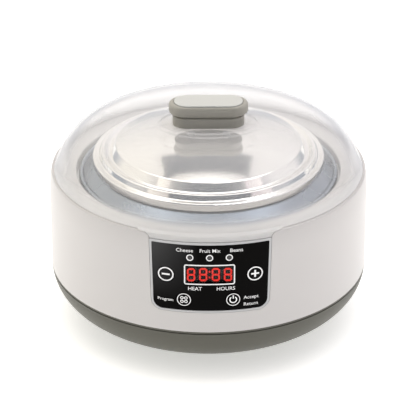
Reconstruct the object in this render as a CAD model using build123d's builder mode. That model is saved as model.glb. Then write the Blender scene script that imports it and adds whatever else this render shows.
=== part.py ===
from build123d import *
from math import sqrt
import os

# Yogurt maker in millimetres: +Z up, origin on the floor under the centre, control panel towards -Y.

# ---- Driving dimensions ---------------------------------------------------------------------------

# Overall
body_radius = 105.0
total_height = 150.0

# Clearances and fits
moving_gap = 0.3
fixed_gap = 0.2
pilot_gap = 0.05

# Heights of the housing
foot_height = 5.0
base_joint_z = 36.5
cover_stack_height = 46.4
body_top_z = total_height - cover_stack_height

# Base pan and feet
pan_curve_width = 40.0
pan_tongue_height = 4.0
pan_tongue_wall = 2.0
pan_groove_drop = 1.6
pan_groove_size = 0.7
foot_radius = 8.0
foot_circle = 52.0
foot_recess = 1.0
foot_chamfer = 1.0
corner_count = 4
corner_angle = 45.0
vent_length = 30.0
vent_width = 2.5
vent_pitch = 6.0
vent_count = 3
vent_y = 40.0

# Body shell
shell_wall = 2.4
shoulder_height = 13.6
shoulder_drop = 1.6
ledge_width = 18.0
ledge_plate = 2.0
ledge_drop = 1.0
cover_seat_width = 3.6
ledge_rim_width = 4.1
ledge_rim_height = 6.1
shelf_drop = 6.6
shelf_plate = 2.0
shelf_width = 4.0
lip_wall = 2.0
ledge_fillet = 1.0

# Housing screws
screw_inset = 12.5
screw_post_radius = 4.0
screw_boss_radius = 4.5
screw_post_height = 26.0
screw_rib_rise = 6.0
screw_rib_width = 2.0
screw_seat_z = 24.4
screw_core_radius = 1.45
screw_through_radius = 1.8
screw_head_radius = 3.3
screw_head_height = 2.4
screw_bore_radius = 3.8
screw_bite = 14.0

# Pot, chamber liner and lid
bead_gap = 1.5
bead_radius = 1.6
pot_inset = 25.5
pot_sheet = 0.8
pot_side_gap = 2.0
pot_floor_gap = 1.7
pot_corner = 8.0
neck_step = 5.3
neck_height = 9.8
neck_collar = 2.8
liner_sheet = 1.0
liner_corner = 8.0
under_chamber_height = 29.0
seat_gap = 0.4
lid_sheet = 0.8
lid_side_gap = 1.2
lid_skirt = 4.8
lid_rim_width = 4.2
lid_ring_inset = 6.7
lid_ring_rise = 3.6
lid_groove_inset = 10.0
lid_groove_rise = 2.5
lid_dome_inset = 15.2
lid_dome_edge_rise = 7.8
lid_rise = 16.6
lid_ring_half = 1.0
lid_groove_width = 1.5
lid_bend = 0.95
lid_dome_bend = 1.5
bead_neck_bend = 1.2
neck_bend = 1.5
gasket_thickness = 1.5
gasket_width = 2.4
gasket_inset = 0.2

# Outer cover and knob
cover_wall = 1.8
cover_rim_inset = 3.1
cover_side_inset = 7.6
cover_side_rise = 9.4
cover_dome_inset = 31.0
cover_dome_sag = 5.85
knob_above_apex = 14.0
dish_length = 63.0
dish_width = 40.0
dish_depth = 1.8
tab_wall = 2.7
tab_rise = 1.2
tab_half_width = 38.2
tab_flare = 7.0
tab_top_inset = 0.5
knob_foot_length = 47.0
knob_foot_width = 20.0
knob_foot_height = 7.2
knob_waist_height = 0.9
knob_waist_inset = 1.2
knob_end_flat = 1.0
knob_foot_fillet = 1.2
knob_head_fillet = 2.4
knob_head_length = 52.0
knob_head_width = 22.0
knob_inlay_length = 45.0
knob_inlay_width = 18.6
knob_inlay_rise = 0.6
knob_inlay_sink = 1.0
knob_screw_pitch = 24.0
knob_screw_radius = 1.5
knob_screw_head_radius = 3.0
knob_screw_head_height = 1.8
knob_screw_head_fillet = 0.8
knob_screw_bite = 6.0

# Control panel
panel_drop = 5.0
panel_height = 46.6
panel_top_width = 73.6
panel_bottom_width = 71.6
panel_corner = 6.0
panel_top_corner = 0.8
lens_recess = 0.4
lens_thickness = 2.0
window_thickness = 1.0
frame_width = 1.4
frame_depth = 3.2
flange_width = 2.5
lens_seat = 0.5
flange_thickness = 1.2
display_shift = -0.6
display_share = 0.548
display_width = 30.2
display_height = 12.4
display_corner = 0.8
module_width = 29.8
module_height = 12.0
module_chamfer = 0.5
digit_height = 9.2
digit_width = 5.2
digit_pitch = 7.6
digit_drop = 1.1
colon_space = 0.3
segment_width = 1.1
segment_gap = 0.15
segment_thickness = 0.4
indicator_share = 0.807
indicator_pitch = 12.3
light_pipe_radius = 1.5
side_key_x = 28.0
side_key_share = 0.526
side_key_radius = 5.4
lower_key_x = 15.5
lower_key_shift = -1.2
lower_key_rise = 7.4
lower_key_radius = 5.1
key_travel = 0.6
key_flange_width = 1.3
key_flange_thickness = 1.2
key_stem_radius = 1.5
key_switch_slack = 0.2

# Control board
board_thickness = 1.6
board_corner = 2.0
board_back_gap = 3.9
control_board_width = 96.0
control_board_height = 39.0
control_board_drop = 10.6
control_screw_x = 44.0
control_screw_z_pitch = 28.0
control_boss_radius = 3.0
board_screw_radius = 1.2
board_screw_head_radius = 2.4
board_screw_head_height = 1.5
board_screw_bite = 3.0
switch_size = 6.0
switch_height = 3.5
plunger_radius = 1.7
plunger_height = 1.2
led_size = 2.0
led_height = 1.2
chip_size = 10.0
chip_thickness = 1.5
chip_x = -30.0
buzzer_radius = 6.0
buzzer_height = 5.0
buzzer_x = 32.0
buzzer_port_radius = 1.2
buzzer_port_depth = 1.0

# Heating
plate_radius = 62.0
plate_thickness = 2.5
element_inner_radius = 26.0
element_outer_radius = 58.0
element_thickness = 1.5
clamp_inner_radius = 14.0
clamp_outer_radius = 34.0
clamp_thickness = 1.0
clamp_screw_circle = 20.0
clamp_screw_bite = 1.8
clamp_screw_count = 3
clamp_screw_angle = 90.0
sensor_radius = 3.0
sensor_chamfer = 0.5
sensor_clip_bearing = 2.6
fuse_radius = 2.0
fuse_length = 14.0
fuse_circle = 24.0
strap_sheet = 0.8
strap_width = 6.0
strap_ear = 4.0
shield_drop = 11.5
shield_radius = 70.0
shield_sheet = 0.8
shield_rim_height = 3.0
shield_post_circle = 64.0
shield_post_count = 3
shield_post_angle = 30.0
shield_post_radius = 4.0

# Power board
power_board_length = 76.0
power_board_width = 48.0
power_board_y = 2.0
power_board_rise = 4.1
power_boss_radius = 3.0
power_boss_inset = 5.0
component_height = 8.6
transformer_x = -20.0
transformer_core_length = 18.0
transformer_core_width = 10.0
transformer_coil_length = 12.0
transformer_coil_width = 16.0
transformer_coil_inset = 1.0
transformer_corner = 2.0
capacitor_radius = 4.0
capacitor_x = 1.0
capacitor_pitch = 10.0
capacitor_shift = 4.0
capacitor_fillet = 0.8
relay_x = 24.0
relay_length = 10.0
relay_width = 20.0
relay_chamfer = 0.5
terminal_width = 14.0
terminal_depth = 8.0
terminal_height = 7.0
terminal_margin = 1.0
terminal_chamfer = 0.6
front_terminal_x = -6.0

# Cables
wire_radius = 1.0
wire_pitch = 6.0
wire_straight = 8.0
heater_lead_exit = 50.0
heater_lead_bend = 3.0
mains_lead_drop = 17.0
mains_lead_inset = 2.0
mains_lead_bend = 5.0
ribbon_width = 10.0
ribbon_thickness = 1.0
ribbon_x = 12.0
ribbon_bend = 5.0
connector_length = 5.0
connector_height = 4.0
connector_depth = 3.0
connector_side = 1.0
connector_rise = 2.0

# Mains inlet at the back
inlet_z = 52.0
inlet_width = 23.0
inlet_height = 14.0
inlet_corner = 1.8
inlet_recess = 1.0
inlet_depth = 17.5
inlet_flange_overlap = 5.0
inlet_flange_rise = 3.0
inlet_flange_thickness = 2.0
socket_length = 16.8
socket_height = 8.2
socket_depth = 12.0
inlet_pin_pitch = 8.6
inlet_pin_radius = 1.2
inlet_pin_length = 10.0
inlet_tab_length = 3.0
inlet_pin_chamfer = 0.4

# ---- Derived places -------------------------------------------------------------------------------

shell_inner_radius = body_radius - shell_wall
pan_wall = shell_wall
screw_circle = body_radius - screw_inset
well_radius = body_radius - ledge_width
ledge_z = body_top_z - ledge_drop
shelf_z = body_top_z - shelf_drop
bead_outer_radius = well_radius - bead_gap
pot_radius = body_radius - pot_inset
liner_inner_radius = pot_radius + pot_side_gap
liner_radius = liner_inner_radius + liner_sheet
liner_bottom_z = foot_height + under_chamber_height
pot_bottom_z = liner_bottom_z + liner_sheet + pot_floor_gap
bead_z = shelf_z + liner_sheet + seat_gap + bead_radius
neck_radius = pot_radius - neck_step
neck_top_z = bead_z + neck_height
lid_radius = neck_radius + lid_side_gap + lid_sheet
lid_rim_z = neck_top_z + moving_gap + gasket_thickness + lid_sheet
cover_apex_z = total_height - knob_above_apex
dish_z = cover_apex_z - dish_depth
panel_top_z = body_top_z - panel_drop
panel_bottom_z = panel_top_z - panel_height
lens_radius = body_radius - lens_recess
lens_inner_radius = lens_radius - lens_thickness
board_back_y = liner_radius + board_back_gap
board_front_y = board_back_y + board_thickness
board_centre_z = body_top_z - control_board_drop - control_board_height / 2
display_z = panel_bottom_z + display_share * panel_height
window_inner_radius = lens_radius - window_thickness
pan_floor_z = foot_height + pan_wall
power_board_z = pan_floor_z + power_board_rise
power_top_z = power_board_z + board_thickness
plate_bottom_z = liner_bottom_z - plate_thickness
element_bottom_z = plate_bottom_z - element_thickness
clamp_bottom_z = element_bottom_z - clamp_thickness
shield_z = liner_bottom_z - shield_drop
shoulder_radius = (shoulder_drop**2 + shoulder_height**2) / (2 * shoulder_drop)

keys = {
    "minus_key": (-side_key_x, panel_bottom_z + side_key_share * panel_height, side_key_radius),
    "plus_key": (side_key_x, panel_bottom_z + side_key_share * panel_height, side_key_radius),
    "function_key": (lower_key_shift - lower_key_x, panel_bottom_z + lower_key_rise, lower_key_radius),
    "confirm_key": (lower_key_shift + lower_key_x, panel_bottom_z + lower_key_rise, lower_key_radius),
}
indicator_z = panel_bottom_z + indicator_share * panel_height
indicator_places = [(display_shift + step * indicator_pitch, indicator_z) for step in (-1, 0, 1)]
control_screw_places = [
    (x, board_centre_z + z)
    for x in (-control_screw_x, control_screw_x)
    for z in (-control_screw_z_pitch / 2, control_screw_z_pitch / 2)
]
front_terminal_y = power_board_y - power_board_width / 2 + terminal_depth / 2 + terminal_margin
back_terminal_y = power_board_y + power_board_width / 2 - terminal_depth / 2 - terminal_margin
wire_z = power_top_z + terminal_height / 2

housing_screws = PolarLocations(screw_circle, corner_count, start_angle=corner_angle)
feet = PolarLocations(foot_circle, corner_count, start_angle=corner_angle)
shield_posts = PolarLocations(shield_post_circle, shield_post_count, start_angle=shield_post_angle)
clamp_screw_places = PolarLocations(clamp_screw_circle, clamp_screw_count, start_angle=clamp_screw_angle)
control_screws = Locations(*control_screw_places)
power_screws = GridLocations(
    power_board_length - 2 * power_boss_inset, power_board_width - 2 * power_boss_inset, 2, 2
)
knob_screw_pair = GridLocations(knob_screw_pitch, 0, 2, 1)
indicators = Locations(*indicator_places)

os.makedirs("parts", exist_ok=True)


# ---- Shared shapes --------------------------------------------------------------------------------


def write_piece(name, piece):
    """Label a finished piece and write it under its own name."""
    piece.label = name
    export_step(piece, f"parts/{name}.step")


def shoulder_radius_at(z):
    """Return the housing's outer radius at a height on its rounded shoulder."""
    rise = max(0.0, z - (body_top_z - shoulder_height))
    return body_radius - shoulder_radius + sqrt(shoulder_radius**2 - rise**2)


def front(distance):
    """Return the upright plane that stands this far in front of the centre and looks forward."""
    return Plane.XZ.offset(distance)


def panel_outline(margin):
    """Return the panel's flat outline, grown by a margin all round."""
    with BuildSketch() as outline:
        with BuildLine():
            Polyline(
                (-panel_bottom_width / 2 - margin, panel_bottom_z - margin),
                (panel_bottom_width / 2 + margin, panel_bottom_z - margin),
                (panel_top_width / 2 + margin, panel_top_z + margin),
                (-panel_top_width / 2 - margin, panel_top_z + margin),
                close=True,
            )
        make_face()
        fillet(outline.vertices().group_by(Axis.Y)[0], panel_corner + margin)
        fillet(outline.vertices().group_by(Axis.Y)[-1], panel_top_corner)
    return outline.sketch


def tab_outline(margin):
    """Return the flat outline of the cover's front tab, grown by a margin at its sides and foot."""
    foot_z = panel_top_z + frame_width + moving_gap
    flare_foot_z = foot_z + moving_gap
    flare_end_x = tab_half_width + tab_flare
    top_z = body_top_z + tab_rise + moving_gap
    with BuildSketch() as outline:
        with BuildLine():
            flare = EllipticalCenterArc(
                (flare_end_x, flare_foot_z),
                tab_flare - margin,
                body_top_z + moving_gap - flare_foot_z - margin,
                start_angle=90,
                arc_size=90,
            )
            Polyline(
                flare @ 1,
                (tab_half_width + margin, foot_z - margin),
                (0, foot_z - margin),
                (0, top_z),
                (flare_end_x, top_z),
                flare @ 0,
            )
        make_face()
        mirror(about=Plane.YZ)
    return outline.sketch


def curved_plate(outline, inner_radius, outer_radius):
    """Return a flat outline pushed through the front wall and trimmed to a ring."""
    with BuildPart() as plate:
        with BuildSketch(front(liner_radius)):
            add(outline)
        extrude(amount=body_radius - liner_radius + ledge_width)
        with BuildSketch():
            Circle(outer_radius)
            Circle(inner_radius, mode=Mode.SUBTRACT)
        extrude(amount=total_height, mode=Mode.INTERSECT)
    return plate.part


def pan_section(inset):
    """Return half of the base pan's outline, drawn in by an inset."""
    with BuildSketch() as section:
        with BuildLine():
            floor = Line((0, foot_height + inset), (body_radius - pan_curve_width, foot_height + inset))
            curve = EllipticalCenterArc(
                (body_radius - pan_curve_width, base_joint_z),
                pan_curve_width - inset,
                base_joint_z - foot_height - inset,
                start_angle=270,
                arc_size=90,
            )
            Polyline(curve @ 1, (0, base_joint_z), floor @ 0)
        make_face()
    return section.sketch


def screws(plane, places, head_radius, head_reach, core_radius, core_reach):
    """Return a screw at each place: head and core reach from the plane by signed lengths."""
    with BuildPart() as screw_set:
        with BuildSketch(plane):
            with places:
                Circle(head_radius)
        extrude(amount=head_reach)
        with BuildSketch(plane):
            with places:
                Circle(core_radius)
        extrude(amount=core_reach)
    return screw_set.part


def rounded_bar(length, width):
    """Return a long rounded outline whose ends are almost half circles."""
    with BuildSketch() as outline:
        RectangleRounded(length, width, (width - knob_end_flat) / 2)
    return outline.sketch


# ---- Base pan, feet and housing screws ------------------------------------------------------------

with BuildPart() as pan_bosses:
    with BuildSketch(Plane.XY.offset(foot_height)):
        with housing_screws:
            Circle(screw_boss_radius)
    extrude(amount=base_joint_z - foot_height)
    with BuildSketch(Plane.XY.offset(foot_height)):
        with shield_posts:
            Circle(shield_post_radius)
    extrude(amount=shield_z - foot_height)
    with BuildSketch(Plane((0, power_board_y, foot_height))):
        with power_screws:
            Circle(power_boss_radius)
    extrude(amount=power_board_z - foot_height)
    with BuildSketch(Plane.XZ):
        add(pan_section(0))
    revolve(axis=Axis.Z, mode=Mode.INTERSECT)

with BuildPart() as base_pan:
    with BuildSketch(Plane.XZ):
        add(pan_section(0))
        add(pan_section(pan_wall), mode=Mode.SUBTRACT)
    revolve(axis=Axis.Z)
    tongue_radius = shell_inner_radius - fixed_gap
    with BuildSketch(Plane.XY.offset(base_joint_z - pan_tongue_height)):
        Circle(tongue_radius)
        Circle(tongue_radius - pan_tongue_wall, mode=Mode.SUBTRACT)
    extrude(amount=2 * pan_tongue_height)
    add(pan_bosses.part)
    # Shadow groove just under the joint
    with BuildSketch(Plane.XZ):
        with Locations((body_radius, base_joint_z - pan_groove_drop)):
            Rectangle(2 * pan_groove_size, pan_groove_size)
    revolve(axis=Axis.Z, mode=Mode.SUBTRACT)
    # Housing screws: clearance hole and deep counterbore from below
    with BuildSketch(Plane.XY):
        with housing_screws:
            Circle(screw_through_radius)
    extrude(amount=base_joint_z, mode=Mode.SUBTRACT)
    with BuildSketch(Plane.XY):
        with housing_screws:
            Circle(screw_bore_radius)
    extrude(amount=screw_seat_z, mode=Mode.SUBTRACT)
    # Pilot holes of the shield posts and of the power board's bosses
    with BuildSketch(Plane.XY.offset(shield_z)):
        with shield_posts:
            Circle(board_screw_radius + pilot_gap)
    extrude(amount=-2 * board_screw_bite, mode=Mode.SUBTRACT)
    with BuildSketch(Plane((0, power_board_y, power_board_z))):
        with power_screws:
            Circle(board_screw_radius + pilot_gap)
    extrude(amount=-board_screw_bite - fixed_gap, mode=Mode.SUBTRACT)
    # Foot recesses and bottom vents
    with BuildSketch(Plane.XY.offset(foot_height)):
        with feet:
            Circle(foot_radius + fixed_gap)
    extrude(amount=foot_recess, mode=Mode.SUBTRACT)
    with BuildSketch(Plane.XY.offset(foot_height)):
        with Locations((0, -vent_y), (0, vent_y)):
            with GridLocations(0, vent_pitch, 1, vent_count):
                SlotOverall(vent_length, vent_width)
    extrude(amount=pan_wall, mode=Mode.SUBTRACT)
write_piece("base_pan", base_pan.part)

with BuildPart() as rubber_feet:
    with BuildSketch(Plane.XY):
        with feet:
            Circle(foot_radius)
    extrude(amount=foot_height + foot_recess)
    chamfer(rubber_feet.edges().group_by(Axis.Z)[0], foot_chamfer)
write_piece("rubber_feet", rubber_feet.part)

base_screws = screws(
    Plane.XY.offset(screw_seat_z),
    housing_screws,
    screw_head_radius,
    -screw_head_height,
    screw_core_radius,
    base_joint_z - screw_seat_z + screw_bite,
)
write_piece("base_screws", base_screws)

# ---- Body shell -----------------------------------------------------------------------------------

with BuildPart() as shell_posts:
    # Screw posts with a rib each, out to the wall
    with BuildSketch(Plane.XY.offset(base_joint_z)):
        with housing_screws:
            Circle(screw_post_radius)
    extrude(amount=screw_post_height)
    with BuildSketch(Plane.XY.offset(base_joint_z + screw_rib_rise)):
        with PolarLocations((screw_circle + body_radius) / 2, corner_count, start_angle=corner_angle):
            Rectangle(body_radius - screw_circle, screw_rib_width)
    extrude(amount=screw_post_height - screw_rib_rise)
    # Bosses that carry the control board
    with BuildSketch(front(board_front_y)):
        with control_screws:
            Circle(control_boss_radius)
    extrude(amount=body_radius - board_front_y)
    with BuildSketch():
        Circle(shell_inner_radius + shell_wall / 2)
    extrude(amount=total_height, mode=Mode.INTERSECT)

with BuildPart() as body_shell:
    with BuildSketch(Plane.XZ) as shell_section:
        with BuildLine():
            shoulder_start = (body_radius, body_top_z - shoulder_height)
            shoulder_end = (body_radius - shoulder_drop, body_top_z)
            wall_line = Line((body_radius, base_joint_z), shoulder_start)
            TangentArc(shoulder_start, shoulder_end, tangent=wall_line % 1)
            seat_inner = shoulder_end[0] - cover_seat_width
            rim_inner = shell_inner_radius - ledge_rim_width
            Polyline(
                shoulder_end,
                (seat_inner, body_top_z),
                (seat_inner, ledge_z),
                (well_radius, ledge_z),
                (well_radius, shelf_z),
                (well_radius - shelf_width, shelf_z),
                (well_radius - shelf_width, shelf_z - shelf_plate),
                (well_radius + lip_wall, shelf_z - shelf_plate),
                (well_radius + lip_wall, ledge_z - ledge_plate),
                (rim_inner, ledge_z - ledge_plate),
                (rim_inner, body_top_z - ledge_rim_height),
                (shell_inner_radius, body_top_z - ledge_rim_height),
                (shell_inner_radius, base_joint_z),
                (body_radius, base_joint_z),
            )
        make_face()
        fillet(shell_section.vertices().sort_by_distance((*shoulder_end, 0))[0], ledge_fillet)
        fillet(shell_section.vertices().sort_by_distance((well_radius, ledge_z, 0))[0], ledge_fillet)
    revolve(axis=Axis.Z)
    add(shell_posts.part)
    # Pilot holes of the posts and bosses
    with BuildSketch(Plane.XY.offset(base_joint_z)):
        with housing_screws:
            Circle(screw_core_radius + pilot_gap)
    extrude(amount=screw_bite + fixed_gap, mode=Mode.SUBTRACT)
    with BuildSketch(front(board_front_y)):
        with control_screws:
            Circle(board_screw_radius + pilot_gap)
    extrude(amount=board_screw_bite + fixed_gap, mode=Mode.SUBTRACT)
    # Window of the control panel and notch of the cover's tab
    with BuildSketch(front(board_front_y)):
        add(panel_outline(frame_width + fixed_gap))
    extrude(amount=body_radius, mode=Mode.SUBTRACT)
    notch_radius = body_radius - shoulder_drop - tab_wall + moving_gap
    add(curved_plate(tab_outline(moving_gap), notch_radius, 2 * body_radius), mode=Mode.SUBTRACT)
    # Window of the mains inlet
    with BuildSketch(Plane.XZ.offset(-body_radius + inlet_depth)):
        with Locations((0, inlet_z)):
            RectangleRounded(
                inlet_width + 2 * fixed_gap,
                inlet_height + 2 * fixed_gap,
                inlet_corner + fixed_gap,
            )
    extrude(amount=-body_radius, mode=Mode.SUBTRACT)
write_piece("body_shell", body_shell.part)

# ---- Control panel --------------------------------------------------------------------------------

with BuildPart() as panel_frame:
    with BuildSketch() as frame_ring:
        add(panel_outline(frame_width))
        add(panel_outline(pilot_gap), mode=Mode.SUBTRACT)
    add(curved_plate(frame_ring.sketch, body_radius - frame_depth, body_radius))
    with BuildSketch() as flange_ring:
        add(panel_outline(frame_width + flange_width))
        add(panel_outline(-lens_seat), mode=Mode.SUBTRACT)
        with Locations((0, body_top_z - ledge_rim_height - fixed_gap)):
            Rectangle(2 * body_radius, total_height, align=(Align.CENTER, Align.MIN), mode=Mode.SUBTRACT)
    flange_radius = shell_inner_radius - fixed_gap
    add(curved_plate(flange_ring.sketch, flange_radius - flange_thickness, flange_radius))
write_piece("panel_frame", panel_frame.part)

with BuildSketch() as display_opening:
    with Locations((display_shift, display_z)):
        RectangleRounded(display_width, display_height, display_corner)

with BuildPart() as panel_lens:
    with BuildSketch() as lens_face:
        add(panel_outline(0))
        with Locations((display_shift, display_z)):
            RectangleRounded(
                display_width + 2 * pilot_gap,
                display_height + 2 * pilot_gap,
                display_corner + pilot_gap,
                mode=Mode.SUBTRACT,
            )
        with indicators:
            Circle(light_pipe_radius + pilot_gap, mode=Mode.SUBTRACT)
        for key_x, key_z, key_radius in keys.values():
            with Locations((key_x, key_z)):
                Circle(key_radius + moving_gap, mode=Mode.SUBTRACT)
    add(curved_plate(lens_face.sketch, lens_inner_radius, lens_radius))
write_piece("panel_lens", panel_lens.part)

with BuildPart() as display_window:
    add(curved_plate(display_opening.sketch, window_inner_radius, lens_radius))
write_piece("display_window", display_window.part)

switch_face_y = board_front_y + switch_height + plunger_height
for key_name, (key_x, key_z, key_radius) in keys.items():
    flange_reach = key_x + (key_radius + key_flange_width) * (1 if key_x > 0 else -1)
    flange_y = sqrt(lens_inner_radius**2 - flange_reach**2) - moving_gap
    stem_y = switch_face_y + key_travel + key_switch_slack
    with BuildPart() as key:
        with BuildSketch(front(flange_y)):
            with Locations((key_x, key_z)):
                Circle(key_radius)
        extrude(amount=body_radius - flange_y)
        with BuildSketch():
            Circle(lens_radius)
        extrude(amount=total_height, mode=Mode.INTERSECT)
        with BuildSketch(front(flange_y)):
            with Locations((key_x, key_z)):
                Circle(key_radius + key_flange_width)
        extrude(amount=-key_flange_thickness)
        with BuildSketch(front(flange_y)):
            with Locations((key_x, key_z)):
                Circle(key_stem_radius)
        extrude(amount=stem_y - flange_y)
    write_piece(key_name, key.part)

# ---- Control board and what it carries ------------------------------------------------------------

with BuildPart() as control_board:
    with BuildSketch(front(board_back_y)):
        with Locations((0, board_centre_z)):
            RectangleRounded(control_board_width, control_board_height, board_corner)
        with control_screws:
            Circle(board_screw_radius + fixed_gap, mode=Mode.SUBTRACT)
    extrude(amount=board_thickness)
write_piece("control_board", control_board.part)

board_screws = screws(
    front(board_back_y),
    control_screws,
    board_screw_head_radius,
    -board_screw_head_height,
    board_screw_radius,
    board_thickness + board_screw_bite,
)
write_piece("board_screws", board_screws)

with BuildPart() as key_switches:
    for key_x, key_z, key_radius in keys.values():
        with BuildSketch(front(board_front_y)):
            with Locations((key_x, key_z)):
                Rectangle(switch_size, switch_size)
        extrude(amount=switch_height)
        with BuildSketch(front(board_front_y + switch_height)):
            with Locations((key_x, key_z)):
                Circle(plunger_radius)
        extrude(amount=plunger_height)
write_piece("key_switches", key_switches.part)

module_reach = abs(display_shift) + module_width / 2
digit_face_y = sqrt(window_inner_radius**2 - module_reach**2) - moving_gap
digit_z = display_z - digit_drop
module_face_y = digit_face_y - segment_thickness
with BuildPart() as display_module:
    with BuildSketch(front(board_front_y)):
        with Locations((display_shift, display_z)):
            Rectangle(module_width, module_height)
    extrude(amount=module_face_y - board_front_y)
    chamfer(display_module.edges().filter_by(Axis.Y), module_chamfer)
write_piece("display_module", display_module.part)


def segment(length):
    """Return one bar of a figure: a long hexagon centred on its own origin."""
    half = segment_width / 2
    with BuildSketch() as bar:
        with BuildLine():
            Polyline(
                (-length / 2, 0),
                (-length / 2 + half, half),
                (length / 2 - half, half),
                (length / 2, 0),
                (length / 2 - half, -half),
                (-length / 2 + half, -half),
                close=True,
            )
        make_face()
    return bar.sketch


with BuildPart() as display_digits:
    bar_across = digit_width - segment_width - 2 * segment_gap
    bar_up = (digit_height - segment_width) / 2 - 2 * segment_gap
    half_across = (digit_width - segment_width) / 2
    half_up = (digit_height - segment_width) / 2
    first_x = display_shift - 1.5 * digit_pitch
    with BuildSketch(front(module_face_y)):
        for place in range(4):
            colon_side = colon_space / 2 if place > 1 else -colon_space / 2
            digit_x = first_x + place * digit_pitch + colon_side
            with Locations(*[(digit_x, digit_z + step * half_up) for step in (-1, 0, 1)]):
                add(segment(bar_across))
            for side in (-1, 1):
                upright_x = digit_x + side * half_across
                with Locations(*[(upright_x, digit_z + step * half_up / 2) for step in (-1, 1)]):
                    add(segment(bar_up), rotation=90)
        with Locations(*[(display_shift, digit_z + step * half_up / 2) for step in (-1, 1)]):
            Circle(segment_width / 2)
    extrude(amount=segment_thickness)
write_piece("display_digits", display_digits.part)

with BuildPart() as indicator_leds:
    with BuildSketch(front(board_front_y)):
        with indicators:
            Rectangle(led_size, led_size)
    extrude(amount=led_height)
write_piece("indicator_leds", indicator_leds.part)

with BuildPart() as light_pipes:
    with BuildSketch(front(board_front_y + led_height)):
        with indicators:
            Circle(light_pipe_radius)
    extrude(amount=body_radius - board_front_y)
    with BuildSketch():
        Circle(lens_radius)
    extrude(amount=total_height, mode=Mode.INTERSECT)
write_piece("light_pipes", light_pipes.part)

with BuildPart() as control_chip:
    with BuildSketch(front(board_back_y)):
        with Locations((chip_x, board_centre_z)):
            Rectangle(chip_size, chip_size)
    extrude(amount=-chip_thickness)
write_piece("control_chip", control_chip.part)

with BuildPart() as buzzer:
    with BuildSketch(front(board_back_y)):
        with Locations((buzzer_x, board_centre_z)):
            Circle(buzzer_radius)
    extrude(amount=-buzzer_height)
    with BuildSketch(front(board_back_y - buzzer_height)):
        with Locations((buzzer_x, board_centre_z)):
            Circle(buzzer_port_radius)
    extrude(amount=buzzer_port_depth, mode=Mode.SUBTRACT)
write_piece("buzzer", buzzer.part)

# ---- Chamber liner and heater ---------------------------------------------------------------------

with BuildPart() as chamber_liner:
    with BuildSketch(Plane.XZ) as liner_section:
        with BuildLine():
            Polyline(
                (0, liner_bottom_z),
                (liner_radius, liner_bottom_z),
                (liner_radius, shelf_z),
                (well_radius - moving_gap, shelf_z),
                (well_radius - moving_gap, shelf_z + liner_sheet),
                (liner_inner_radius, shelf_z + liner_sheet),
                (liner_inner_radius, liner_bottom_z + liner_sheet),
                (0, liner_bottom_z + liner_sheet),
                close=True,
            )
        make_face()
        outer_corner = liner_section.vertices().sort_by_distance((liner_radius, liner_bottom_z, 0))[0]
        fillet(outer_corner, liner_corner + liner_sheet)
        inner_place = (liner_inner_radius, liner_bottom_z + liner_sheet, 0)
        fillet(liner_section.vertices().sort_by_distance(inner_place)[0], liner_corner)
    revolve(axis=Axis.Z)
write_piece("chamber_liner", chamber_liner.part)

with BuildPart() as heater_plate:
    with BuildSketch(Plane.XY.offset(plate_bottom_z)):
        Circle(plate_radius)
        Circle(sensor_radius + fixed_gap, mode=Mode.SUBTRACT)
    extrude(amount=plate_thickness)
    with BuildSketch(Plane.XY.offset(plate_bottom_z)):
        with clamp_screw_places:
            Circle(board_screw_radius + pilot_gap)
    extrude(amount=clamp_screw_bite + fixed_gap, mode=Mode.SUBTRACT)
write_piece("heater_plate", heater_plate.part)

with BuildPart() as heating_element:
    with BuildSketch(Plane.XY.offset(element_bottom_z)):
        Circle(element_outer_radius)
        Circle(element_inner_radius, mode=Mode.SUBTRACT)
    extrude(amount=element_thickness)
write_piece("heating_element", heating_element.part)

with BuildPart() as element_clamp:
    with BuildSketch(Plane.XY.offset(clamp_bottom_z)):
        Circle(clamp_outer_radius)
        Circle(clamp_inner_radius, mode=Mode.SUBTRACT)
        with clamp_screw_places:
            Circle(board_screw_radius + fixed_gap, mode=Mode.SUBTRACT)
    extrude(amount=clamp_thickness)
    # Dished centre that reaches up to the heater plate inside the element's hole
    with BuildSketch(Plane.XY.offset(element_bottom_z)):
        Circle(element_inner_radius - fixed_gap)
        Circle(clamp_inner_radius, mode=Mode.SUBTRACT)
        with clamp_screw_places:
            Circle(board_screw_radius + fixed_gap, mode=Mode.SUBTRACT)
    extrude(amount=element_thickness)
write_piece("element_clamp", element_clamp.part)

clamp_screws = screws(
    Plane.XY.offset(clamp_bottom_z),
    clamp_screw_places,
    board_screw_head_radius,
    -board_screw_head_height,
    board_screw_radius,
    clamp_thickness + element_thickness + clamp_screw_bite,
)
write_piece("clamp_screws", clamp_screws)

with BuildPart() as temperature_sensor:
    with BuildSketch(Plane.XY.offset(clamp_bottom_z)):
        Circle(sensor_radius)
    extrude(amount=liner_bottom_z - clamp_bottom_z)
    chamfer(temperature_sensor.edges().sort_by(Axis.Z)[-1], sensor_chamfer)
write_piece("temperature_sensor", temperature_sensor.part)

with BuildPart() as sensor_clip:
    with BuildSketch(Plane.XY.offset(clamp_bottom_z)):
        SlotOverall(2 * (clamp_inner_radius + sensor_clip_bearing), 2 * sensor_radius)
    extrude(amount=-strap_sheet)
write_piece("sensor_clip", sensor_clip.part)

with BuildPart() as thermal_fuse:
    with BuildSketch(Plane.YZ.offset(-fuse_length / 2)):
        with Locations((-fuse_circle, clamp_bottom_z - fuse_radius - fixed_gap)):
            Circle(fuse_radius)
    extrude(amount=fuse_length)
write_piece("thermal_fuse", thermal_fuse.part)

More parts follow.
